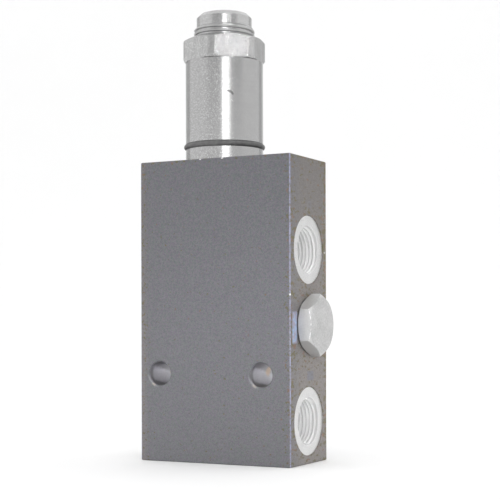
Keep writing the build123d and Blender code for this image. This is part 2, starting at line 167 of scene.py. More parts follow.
# %% [markdown]
# A finish starts as an empty material whose texture coordinates are the object's own, in
# metres. Every piece stays at the origin, so one metre of pattern is one metre of steel on
# each of them. Noise is asked for by the size of its grain, which is easier to judge against
# a photograph than a scale is. Where a finish changes at a place, a ramp on the coordinates
# makes a mask: 1 inside the place, 0 outside it and soft between.

# %% Helpers for finishes
def start_finish(name):
    """An empty material: its first wire carries the object's own coordinates."""
    material = bpy.data.materials.new(name)
    material.use_nodes = True
    material.node_tree.nodes.clear()
    return material, Wire(material.node_tree).node("ShaderNodeTexCoord", take=3)


def noise(place, grain, detail=3.0, stretch=(1, 1, 1), seed=0.0):
    """Noise whose blobs are about one grain across, in metres, longer along a stretched axis."""
    scale = tuple(1.0 / (grain * factor) for factor in stretch)
    moved = place.node("ShaderNodeMapping", None, {0: place, "Scale": scale})
    sockets = {"Vector": moved, "W": seed, "Scale": 1.0, "Detail": detail}
    return place.node("ShaderNodeTexNoise", {"noise_dimensions": "4D"}, sockets)


def crystals(place, size):
    """A random value from 0 to 1 for each of many small cells of about one size."""
    moved = place.node("ShaderNodeMapping", None, {0: place, "Scale": (1.0 / size,) * 3})
    cells = place.node("ShaderNodeTexVoronoi", None, {"Vector": moved, "Scale": 1.0}, take=1)
    return cells.split()[0]


def tint(factor, low, high):
    """Mixes two colours by a factor."""
    settings = {"data_type": "RGBA", "clamp_factor": True}
    return factor.node("ShaderNodeMix", settings, {0: factor, 6: low, 7: high}, take=2)


def surface(colour, roughness, height=None, height_mm=0.01, **constants):
    """Ends a finish in a Principled shader, with a Bump node for the height if there is one."""
    sockets = {"Base Color": colour, "Roughness": roughness}
    for name, value in constants.items():
        sockets[name.replace("_", " ")] = value
    if height is not None:
        bump = {"Height": height, "Strength": 1.0, "Distance": height_mm * mm}
        sockets["Normal"] = colour.node("ShaderNodeBump", None, bump)
    shader = colour.node("ShaderNodeBsdfPrincipled", None, sockets)
    colour.node("ShaderNodeOutputMaterial", None, {"Surface": shader})


def grey(value, warmth=0.0):
    """An RGBA grey, a little warmer or cooler."""
    return (value * (1 + warmth), value, value * (1 - warmth), 1.0)


print("a warm grey:", grey(0.5, 0.02))


# %% [markdown]
# ## The phosphated block
# Phosphating leaves a thin grey crystal coat on steel. It is matt, finely mottled between a
# bluish and a brownish grey, and it keeps a little oil, which shows as olive and rusty specks
# near the edges. The mottling is noise at three sizes. The specks are one more noise, cut off
# high, and let through more easily close to an edge. Use has left its own marks, and some light
# is painted into the coat as well: a lighter side face, painted highlights on the vertical edges
# and round the mounting holes, and a painted reflection of the plug beside it. Each kind of mark
# is a function that lays a colour over the coat through a mask.

# %% Phosphated steel
def edge_highlight_and_wear(place):
    """1 on the rounded vertical edges, broken up by noise."""
    x, y, z = place.split()
    width_gap = block_width / 2 - abs(x)
    depth_gap = block_depth / 2 - abs(y)
    corner = x.maths("MAXIMUM", width_gap, depth_gap).ramp(0.48 * mm, 0.26 * mm)
    patches = noise(place, 0.8 * mm, detail=2.0, seed=21.0).ramp(0.35, 0.6)
    return corner * (0.35 + patches * 0.65)


def distance(place, point):
    """How far each place is from a point."""
    settings = {"operation": "DISTANCE"}
    return place.node("ShaderNodeVectorMath", settings, {0: place, 1: point}, take=1)


def away(across, up):
    """How far two coordinates are from zero, taken together."""
    return across.maths("SQRT", across * across + up * up)


def patch(across, up, middle, reach):
    """1 within a reach to each side of a middle, in two coordinates, with soft borders."""
    inside = abs(across - middle[0]).ramp(reach[0], reach[0] * 0.7)
    return inside * abs(up - middle[1]).ramp(reach[1], reach[1] * 0.8)


def nicks(place, *spots):
    """1 within a small radius of each (point, radius) spot."""
    marks = 0.0
    for point, radius in spots:
        marks = distance(place, point).ramp(radius, radius * 0.4) + marks
    return marks


def coat_colour(place, side_face, mottle, crystal):
    """Between bluish and brownish grey, paler towards the foot; the port faces are browner and
    painted lighter, as if lit from the right.
    """
    x, y, z = place.split()
    grain_hue = noise(place, 0.4 * mm, detail=1.0, seed=8.0).ramp(0.38, 0.62)
    # The coat is paler towards the foot, and on the side face more so
    rise = z * (1 / block_height)
    tone = (mottle * 0.4 + crystal * 0.6).ramp(0.34, 0.66) - (rise - 0.5) * 0.35
    side_tone = tone - (rise - 0.5) * 0.45
    violet = tint(tone, (0.120, 0.106, 0.136, 1), (0.188, 0.170, 0.200, 1))
    green = tint(tone, (0.100, 0.116, 0.114, 1), (0.162, 0.180, 0.174, 1))
    warm = tint(side_tone, (0.140, 0.131, 0.127, 1), (0.225, 0.206, 0.199, 1))
    # Painted light: the port faces are lighter and browner, more so away from the front; the left
    # edge of the front is browner and paler too
    lit_side_and_brown = side_face * (0.45 + y.ramp(-14 * mm, -4 * mm) * 0.55)
    left_edge = x.ramp(-26.5 * mm, -29.5 * mm)
    coat = tint(lit_side_and_brown, tint(grain_hue, violet, green), warm)
    return tint(left_edge * 0.6, coat, warm)


def old_oil(coat, place, side_face):
    """Specks of oil and rust, more of them near the vertical edges, the top and the ports."""
    x, y, z = place.split()
    width_edge = (block_width / 2 - abs(x)).ramp(5 * mm, 0.2 * mm)
    depth_edge = (block_depth / 2 - abs(y)).ramp(5 * mm, 0.2 * mm)
    top_edge = (block_height - z).ramp(3 * mm, 0.1 * mm)
    near_edge = x.maths("MAXIMUM", width_edge * depth_edge, top_edge)
    near_port = 0.0
    for level in (line_level, load_level, return_level):
        near_port = away(y, z - level).ramp(16 * mm, 12 * mm) + near_port
    back_edge = y.ramp(4 * mm, 14 * mm)
    dirt = near_edge * (0.09 + back_edge * 0.05) + side_face * (0.055 + near_port * 0.045)
    fleck = noise(place, 0.95 * mm, detail=2.0, stretch=(1, 1.8, 1), seed=11.0)
    specks = (fleck + dirt).ramp(0.655, 0.70)
    hue = noise(place, 2.5 * mm, detail=1.0, seed=15.0).ramp(0.48, 0.66)
    oil = tint(hue, (0.110, 0.098, 0.035, 1), (0.200, 0.110, 0.070, 1))
    return tint(specks * 0.8, coat, oil)


def plug_reflection_and_smears(coat, place, side_face, mottle):
    """A painted reflection: the bright bluish patch that the plug's front flat throws on the face
    beside it; and two smears on that face.
    """
    x, y, z = place.split()
    flat_reflection = patch(y, z, (-11.6 * mm, 48.0 * mm), (2.2 * mm, 6.0 * mm)) * side_face
    reflection_hue = noise(place, 2.0 * mm, detail=2.0, seed=17.0).ramp(0.42, 0.58)
    reflection_colour = tint(reflection_hue, (0.36, 0.34, 0.45, 1), (0.33, 0.44, 0.64, 1))
    coat = tint(flat_reflection * (0.25 + mottle), coat, reflection_colour)
    smear = patch(y, z, (1.0 * mm, 30.9 * mm), (3.0 * mm, 1.8 * mm)) * side_face
    smear = patch(y, z, (0.5 * mm, 91.0 * mm), (1.8 * mm, 1.4 * mm)) * side_face * 0.5 + smear
    return tint(smear * 0.7, coat, (0.155, 0.160, 0.195, 1))


def hole_rim_highlights(coat, place):
    """Painted highlight: a paler crescent on the lower left rim of each mounting hole, tan and
    brightest at its lower end.
    """
    x, y, z = place.split()
    front = -block_depth / 2
    for hole_x in hole_places:
        across, drop = x - hole_x, z - hole_level
        ring = away(across, drop).ramp(5.3 * mm, 4.8 * mm)
        crescent_highlight = ring * (across * -0.77 - drop * 0.64).ramp(3.4 * mm, 4.8 * mm)
        coat = tint(crescent_highlight * 0.85, coat, (0.26, 0.26, 0.275, 1))
        # Painted highlight: the brightest, tan end of the crescent
        end = nicks(
            place,
            ((hole_x - 2.3 * mm, front, hole_level - 4.1 * mm), 0.7 * mm),
            ((hole_x - 2.9 * mm, front, hole_level - 3.7 * mm), 0.6 * mm),
        )
        coat = tint(end * 0.6, coat, (0.42, 0.38, 0.33, 1))
    return coat


def phosphate_coat():
    """The block's finish: the coat, then what use and handling did to it."""
    material, place = start_finish("phosphate_coat")
    x, y, z = place.split()
    mottle = noise(place, 0.8 * mm, detail=3.0, seed=3.0)
    crystal = noise(place, 0.32 * mm, detail=1.0, seed=7.0)
    side_face = x.ramp(29.3 * mm, 29.7 * mm)
    coat = coat_colour(place, side_face, mottle, crystal)
    coat = old_oil(coat, place, side_face)
    coat = plug_reflection_and_smears(coat, place, side_face, mottle)
    coat = hole_rim_highlights(coat, place)
    # A painted highlight on the vertical edges, pale and bluish at the front; at the back they are
    # worn brown
    rim = tint(y.ramp(-5 * mm, 5 * mm), (0.30, 0.31, 0.44, 1), (0.25, 0.21, 0.10, 1))
    coat = tint(edge_highlight_and_wear(place), coat, rim)
    # Two knocks on the edges of the side face have gone down to bare steel; the two bare spots on
    # the top front edge are painted highlights, where the sleeve's highlight runs down to the
    # block
    bare_and_highlight_spots = nicks(
        place,
        ((29.9 * mm, -14.9 * mm, 59.2 * mm), 0.5 * mm),
        ((30.0 * mm, 13.2 * mm, 74.6 * mm), 0.45 * mm),
        ((-5.2 * mm, -15.0 * mm, 107.5 * mm), 0.6 * mm),
        ((3.6 * mm, -15.0 * mm, 107.5 * mm), 0.7 * mm),
    )
    coat = tint(bare_and_highlight_spots, coat, grey(0.9))
    roughness = 0.5 + mottle * 0.16 - bare_and_highlight_spots * 0.2
    height = crystal * 0.6 + mottle * 0.4
    surface(coat, roughness, height, 0.02, Metallic=bare_and_highlight_spots, Specular_IOR_Level=0.45)
    return material


block_finish = phosphate_coat()
print("made", block_finish.name, "with", len(block_finish.node_tree.nodes), "nodes")


# %% [markdown]
# ## Bright steel
# The sleeve, the nut, the screw and the plug are zinc plated, which gives a satin grey metal
# with a fine sparkle of small crystals. The ports are cut after phosphating, so their steel is
# bare and shows the rings that the tool left. On metal, colour is only a tint of what it
# reflects, and roughness decides how softly. Scratched threads and the oily plug are made
# less metallic, because they scatter some of the light.

# %% Zinc plate and bare machined steel
def plate_colour(value, cast):
    """A grey of the given value with a slight cast."""
    return (*(min(1.0, value * part) for part in cast), 1.0)


# Painted glints: the sparkle is kept to the side of the cartridge on the camera's left, where
# light catches it
glint_direction = (-0.878, -0.479)


def bright_steel(
    name, tone, satin, grain, ring_axis="z", speckle=0.1, crystal=0.3 * mm, glints_one_side=False,
    streak=0.0, contrast=0.1, relief=0.012, cast=(1, 1, 1), metal=1.0, layers=None
):
    """Satin metal with sparkle; its fine rings run round the axis that it was turned on.

    The one-side flag keeps the sparkle, a painted glint, to the side of the cartridge on the
    camera's left. Layers is a function that gives (mask, colour) pairs, which are laid over the
    plate in turn.
    """
    material, place = start_finish(name)
    cloud = noise(place, 5 * mm, detail=2.0, seed=1.0)
    grains = noise(place, grain, detail=2.0, seed=5.0)
    along = {"x": (1, 60, 60), "z": (60, 60, 1)}[ring_axis]
    rings = noise(place, 0.25 * mm, detail=1.0, stretch=along, seed=9.0)
    sparkle = crystals(place, crystal).ramp(0.7, 1.0)
    # Painted glints: sparkle only on the side where light catches it
    if glints_one_side:
        x, y, z = place.split()
        toward_glints = (x - cartridge_x) * glint_direction[0] + y * glint_direction[1]
        sparkle = sparkle * (0.2 + toward_glints.ramp(-2 * mm, 2 * mm) * 0.8)
    streaks = noise(place, 3.2 * mm, detail=1.0, stretch=(1, 1, 6), seed=4.0).ramp(0.45, 0.7)
    shade = (cloud * 0.3 + grains * 0.5 + rings * 0.2).ramp(0.3, 0.7)
    dull, light = tone * (1 - contrast), tone * (1 + contrast)
    plate = tint(shade, plate_colour(dull, cast), plate_colour(light, cast))
    plate = tint(streaks * streak, plate, grey(tone * 0.6))
    colour = tint(sparkle * speckle, plate, grey(min(1.0, tone * 2.0)))
    for mask, layer in layers(place) if layers else ():
        colour = tint(mask, colour, layer)
    roughness = satin + (grains - 0.5) * 0.12 - sparkle * (speckle * 0.3)
    surface(colour, roughness, grains * 0.7 + rings * 0.3, relief, Metallic=metal)
    return material


def dent(place):
    """A small dull dent in the sleeve, wider at its top."""
    spots = ((4.3, -11.6, 131.3, 0.5), (4.9, -11.2, 131.1, 0.7))
    spots += ((5.35, -10.85, 130.7, 0.6), (5.6, -10.6, 130.2, 0.45))
    spots = [((x * mm, y * mm, z * mm), radius * mm) for x, y, z, radius in spots]
    return [(nicks(place, *spots), grey(0.16))]


def plug_layers(place):
    """Painted light on the plug: its flats lighter than its end face, shade on its lower flats,
    and a highlight along the edge of its front flat.
    """
    x, y, z = place.split()
    height, rise = x - block_width / 2, z - load_level
    painted_flat_light = height.ramp(plug_face, plug_face - 0.5 * mm)
    painted_lower_shade = rise.ramp(-3.5 * mm, -6.0 * mm) * painted_flat_light
    # The painted highlight lies where the cone of the chamfer meets the flat, and it is broken up
    slope = plug_chamfer / (plug_corner - plug_face_radius)
    off_cone = abs(height - plug_face + (away(y, rise) - plug_face_radius) * slope)
    off_flat = abs(y + plug_flats / 2)
    edge = off_cone.ramp(0.2 * mm, 0.05 * mm) * off_flat.ramp(0.2 * mm, 0.05 * mm)
    edge = edge * (0.2 + noise(place, 0.9 * mm, seed=31.0).ramp(0.45, 0.52) * 0.8)
    return [(painted_flat_light * 0.6, grey(0.6)), (painted_lower_shade * 0.6, grey(0.5)), (edge, grey(1.0))]


def bore_layers(place):
    """Painted shade in the mounting holes near the mouth and above and below the middle, and
    stains of oil.
    """
    x, y, z = place.split()
    depth = y + block_depth / 2
    off_level = abs(z - hole_level - 0.5 * mm + depth * 0.2) + noise(place, 1.5 * mm) * 0.8 * mm
    painted_bore_shade = x.maths("MAXIMUM", off_level.ramp(2.4 * mm, 3.6 * mm), depth.ramp(3.0 * mm, 1.4 * mm))
    left, right = hole_places
    stain = nicks(
        place,
        ((left - 4.2 * mm, 0.0, hole_level), 1.2 * mm),
        ((right - 4.2 * mm, -1.2 * mm, hole_level + 1.0 * mm), 2.6 * mm),
    )
    return [(painted_bore_shade * 0.65, grey(0.3)), (stain * 0.6, (0.75, 0.55, 0.35, 1))]


def port_layers(place):
    """Painted shade: the first turns of each port's thread are darker than the rest."""
    x, y, z = place.split()
    return [(abs(x).ramp(27.3 * mm, 28.3 * mm), grey(0.74))]


sleeve_finish = bright_steel(
    "zinc_plate", 0.36, 0.22, 0.25 * mm, speckle=0.52, crystal=0.17 * mm, glints_one_side=True,
    contrast=0.05, relief=0.004, layers=dent
)
nut_finish = bright_steel(
    "zinc_plate_milled", 0.405, 0.36, 0.3 * mm, speckle=0.55, crystal=0.22 * mm, streak=0.4,
    contrast=0.08, relief=0.003
)
screw_finish = bright_steel("zinc_plate_turned", 0.435, 0.21, 0.35 * mm)
thread_finish = bright_steel("zinc_plate_thread", 0.405, 0.33, 0.35 * mm, metal=0.9)
plug_finish = bright_steel(
    "zinc_plate_plug", 0.435, 0.36, 0.6 * mm, ring_axis="x", speckle=0.05, contrast=0.24,
    relief=0.016, metal=0.45, layers=plug_layers
)
port_finish = bright_steel("machined_steel", 0.66, 0.30, 0.30 * mm, ring_axis="x")
tapped_finish = bright_steel(
    "tapped_steel", 0.95, 0.13, 0.30 * mm, ring_axis="x", contrast=0.05, relief=0.003,
    metal=0.35, layers=port_layers
)
lilac = (1.0, 0.99, 1.04)
bored_finish = bright_steel("bored_steel", 0.8, 0.38, 0.30 * mm, cast=lilac, layers=bore_layers)
print("finishes:", [finish.name for finish in bpy.data.materials])


# %% [markdown]
# ## Rubber, white plastic and the hidden steels
# Seals are black nitrile rubber with a faint bloom. The backup rings are white plastic. The
# pieces in the cavity are ground and hardened, and the springs are dark. They are hidden
# inside the block, and keep their CAD shapes.

# %% Seals and inner steels
def nitrile_rubber():
    material, place = start_finish("nitrile_rubber")
    bloom = noise(place, 1.6 * mm)
    colour = tint(bloom.ramp(0.3, 0.7), grey(0.085), grey(0.13))
    surface(colour, 0.42 + bloom * 0.2, bloom, 0.015)
    return material


def backup_plastic():
    material, place = start_finish("backup_plastic")
    cloud = noise(place, 2 * mm, detail=2.0)
    surface(tint(cloud, grey(0.72, 0.02), grey(0.8, 0.03)), 0.45 + cloud * 0.1)
    return material


def inner_metal(name, tone, satin):
    material, place = start_finish(name)
    rings = noise(place, 0.15 * mm, detail=1.0, stretch=(60, 60, 1))
    colour = tint(rings, grey(tone * 0.9), grey(tone * 1.1))
    surface(colour, satin + rings * 0.1, rings, 0.004, Metallic=1.0)
    return material


rubber_finish = nitrile_rubber()
inner_finishes = {
    "black_rubber": rubber_finish,
    "white_plastic": backup_plastic(),
    "ground_steel": inner_metal("ground_finish", 0.5, 0.2),
    "spring_steel": inner_metal("spring_finish", 0.16, 0.35),
}
print("inner finishes:", sorted(inner_finishes))


# %% [markdown]
# ## Turned shapes
# Nearly every piece is turned on a lathe, so nearly every mesh is an outline spun about an
# axis. A real edge is never quite sharp, and a bright line along an edge is what makes metal
# look solid, so `soften` rounds each corner of the outline first.

# %% Outlines and spinning
def soften(outline, radius, steps=3):
    """Rounds the corners of a closed (radius, height) outline; corners on the axis stay."""
    points = [Vector(point) for point in outline]
    rounded = []
    for before, corner, after in zip(points[-1:] + points[:-1], points, points[1:] + points[:1]):
        if corner.x < 1e-6:
            rounded.append(corner)
            continue
        back, on = before - corner, after - corner
        reach = min(radius, 0.4 * back.length, 0.4 * on.length)
        start = corner + back.normalized() * reach
        end = corner + on.normalized() * reach
        for step in range(steps + 1):
            t = step / steps
            rounded.append((1 - t) ** 2 * start + 2 * t * (1 - t) * corner + t**2 * end)
    return rounded


def spin(outline, place, steps=192):
    """Spins a closed outline about the Z axis of the matrix place."""
    shape = bmesh.new()
    rings = []
    for radius, height in outline:
        if radius < 1e-6:
            rings.append([shape.verts.new(place @ Vector((0, 0, height)))] * steps)
            continue
        angles = (2 * pi * step / steps for step in range(steps))
        ring = [Vector((radius * cos(angle), radius * sin(angle), height)) for angle in angles]
        rings.append([shape.verts.new(place @ point) for point in ring])
    for ring, following in zip(rings, rings[1:] + rings[:1]):
        for step in range(steps):
            beside = (step + 1) % steps
            corners = (ring[step], ring[beside], following[beside], following[step])
            corners = list(dict.fromkeys(corners))
            if len(corners) > 2:
                shape.faces.new(corners)
    bmesh.ops.recalc_face_normals(shape, faces=shape.faces)
    return shape


def prism(corner_radius, turn, low, high, place):
    """Six-sided bar between two heights on the Z axis of place, a corner at the angle turn."""
    shape = bmesh.new()
    ends = []
    for height in (low, high):
        angles = (turn + pi / 3 * side for side in range(6))
        points = [(corner_radius * cos(a), corner_radius * sin(a), height) for a in angles]
        ends.append([shape.verts.new(place @ Vector(point)) for point in points])
    for side in range(6):
        beside = (side + 1) % 6
        shape.faces.new((ends[0][side], ends[0][beside], ends[1][beside], ends[1][side]))
    shape.faces.new(ends[0])
    shape.faces.new(ends[1])
    bmesh.ops.recalc_face_normals(shape, faces=shape.faces)
    return shape


upright = Matrix.Translation((cartridge_x, 0, 0))


def port_axis(side, level):
    """Matrix whose Z axis runs out of a side face at a port's level."""
    turned = Matrix.Rotation(side * pi / 2, 4, "Y")
    return Matrix.Translation((side * block_width / 2, 0, level)) @ turned


print("a softened square has", len(soften([(1, 0), (2, 0), (2, 1), (1, 1)], 0.1)), "points")


# %% [markdown]
# A bmesh becomes an object here, and booleans cut and join the shapes. Last, weighted normals
# keep broad faces flat in shading while the rounded corners between them stay smooth. Every
# modifier is baked into the mesh at once, so that a finished piece carries none.

# %% From a shape to a finished piece
crease = radians(38)


def add(name, data):
    """New object in the scene."""
    made = bpy.data.objects.new(name, data)
    bpy.context.scene.collection.objects.link(made)
    return made


def piece(name, shape, finish):
    """Object at the origin from a bmesh, with its finish."""
    mesh = bpy.data.meshes.new(name)
    shape.to_mesh(mesh)
    shape.free()
    mesh.materials.append(finish)
    return add(name, mesh)


def bake(made):
    """Replaces an object's mesh by what its modifiers make of it, and removes them."""
    evaluated = made.evaluated_get(bpy.context.evaluated_depsgraph_get())
    mesh = bpy.data.meshes.new_from_object(evaluated)
    plain = made.data
    made.modifiers.clear()
    made.data = mesh
    bpy.data.meshes.remove(plain)
    mesh.name = made.name


def combine(made, shape, finish, operation):
    """Boolean of a piece and a shape, whose finish goes onto the faces that it leaves."""
    tool = piece("tool", shape, finish)
    boolean = made.modifiers.new("combine", "BOOLEAN")
    boolean.operation = operation
    boolean.solver = "EXACT"
    boolean.material_mode = "TRANSFER"
    boolean.object = tool
    bake(made)
    bpy.data.objects.remove(tool)


def settle(made, body, *nodes, slot):
    """Smooths a piece, lets it ride on its body and hides the CAD nodes that it stands for."""
    made.data.shade_smooth()
    made.data.set_sharp_from_angle(angle=crease)
    weighted = made.modifiers.new("weighted", "WEIGHTED_NORMAL")
    weighted.keep_sharp = True
    weighted.weight = 100
    bake(made)
    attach(made, body)
    if nodes:
        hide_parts(*nodes)
    print(made.name, "has", len(made.data.polygons), "faces")


# %% [markdown]
# ## The block
# The real block is sawn from flat bar, milled, and bored from the top and the sides. The mesh
# follows the same order: a box with bevelled edges, then the bores as boolean cuts. A cutter's
# finish goes onto the faces that it cuts. A port takes three cuts: the first gives its recess
# wall the block's dark coat, and then the floor is skimmed and the thread bored, both down to
# bare steel. Under the plug the floor keeps its coat. A mounting hole takes two cuts: one leaves
# the coat on its broken edges, and the other clears the wall.

# %% Box with bevelled edges
bar = bmesh.new()
bmesh.ops.create_cube(bar, size=1.0)
bmesh.ops.scale(bar, vec=(block_width, block_depth, block_height), verts=bar.verts)
bmesh.ops.translate(bar, vec=(0, 0, block_height / 2), verts=bar.verts)
bmesh.ops.bevel(
    bar, geom=bar.edges[:], offset=block_bevel, segments=3, profile=0.5, affect="EDGES"
)
block = piece("block", bar, block_finish)
print("bar corners", len(block.data.vertices))


# %% Cavity, ports and mounting holes
skim = 0.05 * mm
clear = 1 * mm  # how far each cutter begins outside the steel


def recess_outline(mouth_radius, recess):
    """Cutter outline of the recess round a port, which gives its wall the block's coat."""
    lip = 0.12 * mm
    return [
        (0, clear),
        (mouth_radius + lip + clear, clear),
        (mouth_radius, -lip),
        (mouth_radius, -recess),
        (0, -recess),
    ]


def floor_outline(floor_radius, recess):
    """Cutter outline that skims the floor of a recess."""
    return [(0, clear), (floor_radius, clear), (floor_radius, -recess), (0, -recess)]


def port_outline(recess):
    """Cutter outline of a port's bore, heights measured out of the side face."""
    over = 0.2 * mm
    thread_end = recess + 12.0 * mm
    tap_end = thread_end + 1.5 * mm
    drilling = 5.0 * mm
    cone_end = tap_end + (port_tap_radius - drilling) / sqrt(3)
    return [
        (0, over - recess),
        (port_thread_radius + port_countersink + over, over - recess),
        (port_thread_radius, -recess - port_countersink),
        (port_thread_radius, -thread_end),
        (port_tap_radius, -thread_end),
        (port_tap_radius, -tap_end),
        (drilling, -cone_end),
        (drilling, -block_width / 2 - cartridge_x),
        (0, -block_width / 2 - cartridge_x),
    ]


def cavity_outline():
    """Cutter outline of the stepped bore for the cartridge, from above the top face down."""
    mouth, thread, cage, bush, pilot, drilling = (
        radius * mm for radius in (13.0, 12.0, 10.5, 10.0, 7.5, 4.5)
    )
    seal_end, thread_end = block_height - 2.0 * mm, block_height - 13.7 * mm
    seat, shoulder = 65.7 * mm, 37.7 * mm
    pilot_end = shoulder - 14.0 * mm
    edge = 0.15 * mm
    return [
        (0, block_height + clear),
        (mouth + edge + clear, block_height + clear),
        (mouth, block_height - edge),
        (mouth, seal_end),
        (thread, seal_end),
        (thread, thread_end),
        (cage, thread_end - 1.5 * mm),
        (cage, seat + 0.5 * mm),
        (bush, seat),
        (bush, shoulder),
        (pilot, shoulder - 0.5 * mm),
        (pilot, pilot_end),
        (drilling, pilot_end),
        (drilling, line_level),
        (0, line_level),
    ]


def hole_outline(radius, lip):
    """Cutter outline of a mounting hole with broken edges, from front to back."""
    half = block_depth / 2
    return [
        (0, -half - clear),
        (radius + lip + clear, -half - clear),
        (radius, -half + lip),
        (radius, half - lip),
        (radius + lip + clear, half + clear),
        (0, half + clear),
    ]


def bore_outline(radius):
    """Cutter outline of the drilling that takes the coat off a mounting hole's wall."""
    reach = block_depth / 2 + clear
    return [(0, -reach), (radius, -reach), (radius, reach), (0, reach)]


port_list = [
    (1, return_level, spotface_radius, spotface_depth),
    (1, line_level, spotface_radius, spotface_depth),
    (1, load_level, plug_recess_radius, plug_recess_depth),
    (-1, line_level, spotface_radius, spotface_depth),
    (-1, load_level, spotface_radius, spotface_depth),
]


def cut(outline, place, finish, steps=192):
    """Cuts a spun outline out of the block."""
    combine(block, spin(outline, place, steps), finish, "DIFFERENCE")


cut(cavity_outline(), upright, port_finish)
for side, level, mouth, recess in port_list:
    axis = port_axis(side, level)
    cut(recess_outline(mouth, recess - skim), axis, block_finish)
    floor_finish = port_finish if mouth == spotface_radius else block_finish
    cut(floor_outline(mouth - skim, recess), axis, floor_finish)
    cut(port_outline(recess), axis, tapped_finish)
for hole_x in hole_places:
    axis = Matrix.Translation((hole_x, 0, hole_level)) @ Matrix.Rotation(pi / 2, 4, "X")
    cut(hole_outline(hole_radius - skim, hole_edge), axis, block_finish, steps=96)
    cut(bore_outline(hole_radius), axis, bored_finish, steps=96)
settle(block, "root", "valve_block", slot="phosphated_steel")


# %% [markdown]
# ## The sleeve and its ring
# The spring housing shows as a plain sleeve with a groove near its foot. Below the top face
# it goes on as a threaded stub, which no one sees, but a closed and complete piece is as
# quick to spin as half of one. The ring in the groove is a true round section here.

# %% Spring sleeve
def sleeve_outline():
    """Closed outline of the spring housing, up its outside and down its bore."""
    groove_floor, groove_half = 12.75 * mm, 1.0 * mm
    groove_low, groove_high = ring_level - groove_half, ring_level + groove_half
    foot, foot_top, neck = 88.5 * mm, 94.4 * mm, 105.5 * mm
    foot_radius, thread_radius, neck_radius = 10.45 * mm, 11.95 * mm, 11.0 * mm
    screw_bore, spring_bore, foot_bore = 11.0 * mm, 10.0 * mm, 9.0 * mm
    screw_bore_end, spring_bore_end = 132.0 * mm, 121.6 * mm
    edge = 0.15 * mm
    return [
        (foot_bore, foot),
        (foot_radius, foot),
        (foot_radius, foot_top),
        (thread_radius, foot_top + 0.8 * mm),
        (thread_radius, neck),
        (neck_radius, neck),
        (neck_radius, block_height),
        (sleeve_radius, block_height),
        (sleeve_radius, groove_low),
        (groove_floor, groove_low),
        (groove_floor, groove_high),
        (sleeve_radius, groove_high),
        (sleeve_radius, sleeve_top - edge),
        (sleeve_radius - edge, sleeve_top),
        (screw_bore, sleeve_top),
        (screw_bore, screw_bore_end),
        (spring_bore, screw_bore_end),
        (spring_bore, spring_bore_end),
        (foot_bore, spring_bore_end),
    ]


sleeve = piece("sleeve", spin(soften(sleeve_outline(), 0.12 * mm), upright, 256), sleeve_finish)
settle(sleeve, "root", "spring_housing", slot="zinc_plated_steel")


# %% Ring in the sleeve's groove
def ring_outline(middle, level, radius, steps=24):
    """Round section of a ring."""
    angles = (2 * pi * step / steps for step in range(steps))
    return [(middle + radius * cos(angle), level + radius * sin(angle)) for angle in angles]


ring_section = ring_outline(ring_middle, ring_level, ring_radius)
cap_ring = piece("cap_ring", spin(ring_section, upright, 256), rubber_finish)
settle(cap_ring, "root", "cap_o_ring", slot="black_rubber")


# %% [markdown]
# ## The lock nut
# A nut begins as a turned disc with a chamfer at each end, and the six flats are milled
# afterwards. The curved lower edge of each flat comes from that order, so the mesh is made the
# same way: the turned shape and a six-sided bar, of which the boolean keeps what they share.

# %% Lock nut
nut_base_radius, nut_face_radius = 14.2 * mm, 12.5 * mm
low_chamfer, high_chamfer = 0.9 * mm, 1.1 * mm
nut_outline = [
    (screw_thread_radius, sleeve_top),
    (nut_base_radius, sleeve_top),
    (nut_radius, sleeve_top + low_chamfer),
    (nut_radius, nut_top - high_chamfer),
    (nut_face_radius, nut_top),
    (screw_thread_radius, nut_top),
]
nut_flats = 27.0 * mm
nut_turn = radians(-20)
fine_edge = 0.1 * mm
nut = piece("nut", spin(soften(nut_outline, fine_edge), upright, 240), nut_finish)
hexagon = prism(nut_flats / sqrt(3), nut_turn, sleeve_top - clear, nut_top + clear, upright)
combine(nut, hexagon, nut_finish, "INTERSECT")
settle(nut, "root", "lock_nut", slot="zinc_plated_steel")


# %% [markdown]
# ## The adjusting screw
# The screw's body is turned with a plain end, and the socket for a hex key is sunk in its
# top. Its thread is added on a core at the thread's root, because a ridge that winds round a
# core is what a thread is.

# %% Adjusting screw without its thread
screw_root_radius = 10.45 * mm
screw_foot = 125.8 * mm
screw_outline = [
    (0, screw_foot),
    (screw_root_radius - 0.5 * mm, screw_foot),
    (screw_root_radius, screw_foot + 0.5 * mm),
    (screw_root_radius, screw_thread_top - 0.3 * mm),
    (screw_end_radius, screw_thread_top),
    (screw_end_radius, screw_top - 1.5 * mm),
    (screw_end_radius - 1.5 * mm, screw_top),
    (0, screw_top),
]
screw = piece("screw", spin(soften(screw_outline, fine_edge), upright, 240), screw_finish)
socket_flats, socket_depth = 10.0 * mm, 8.0 * mm
socket = prism(socket_flats / sqrt(3), 0, screw_top - socket_depth, screw_top + clear, upright)
combine(screw, socket, screw_finish, "DIFFERENCE")
settle(screw, "adjuster", "adjusting_screw", slot="zinc_plated_steel")


# %% [markdown]
# ## Threads with Geometry Nodes
# A thread follows a path, so a node tree makes it: a helix, swept with a four-sided ridge
# whose corners are filleted. The ridge is then held inside a cone, which is how the chamfer at
# a screw's end or the countersink at a port's mouth trims the first turns. The tree places
# one copy on each point of its own mesh, turned as the point's `facing` says.

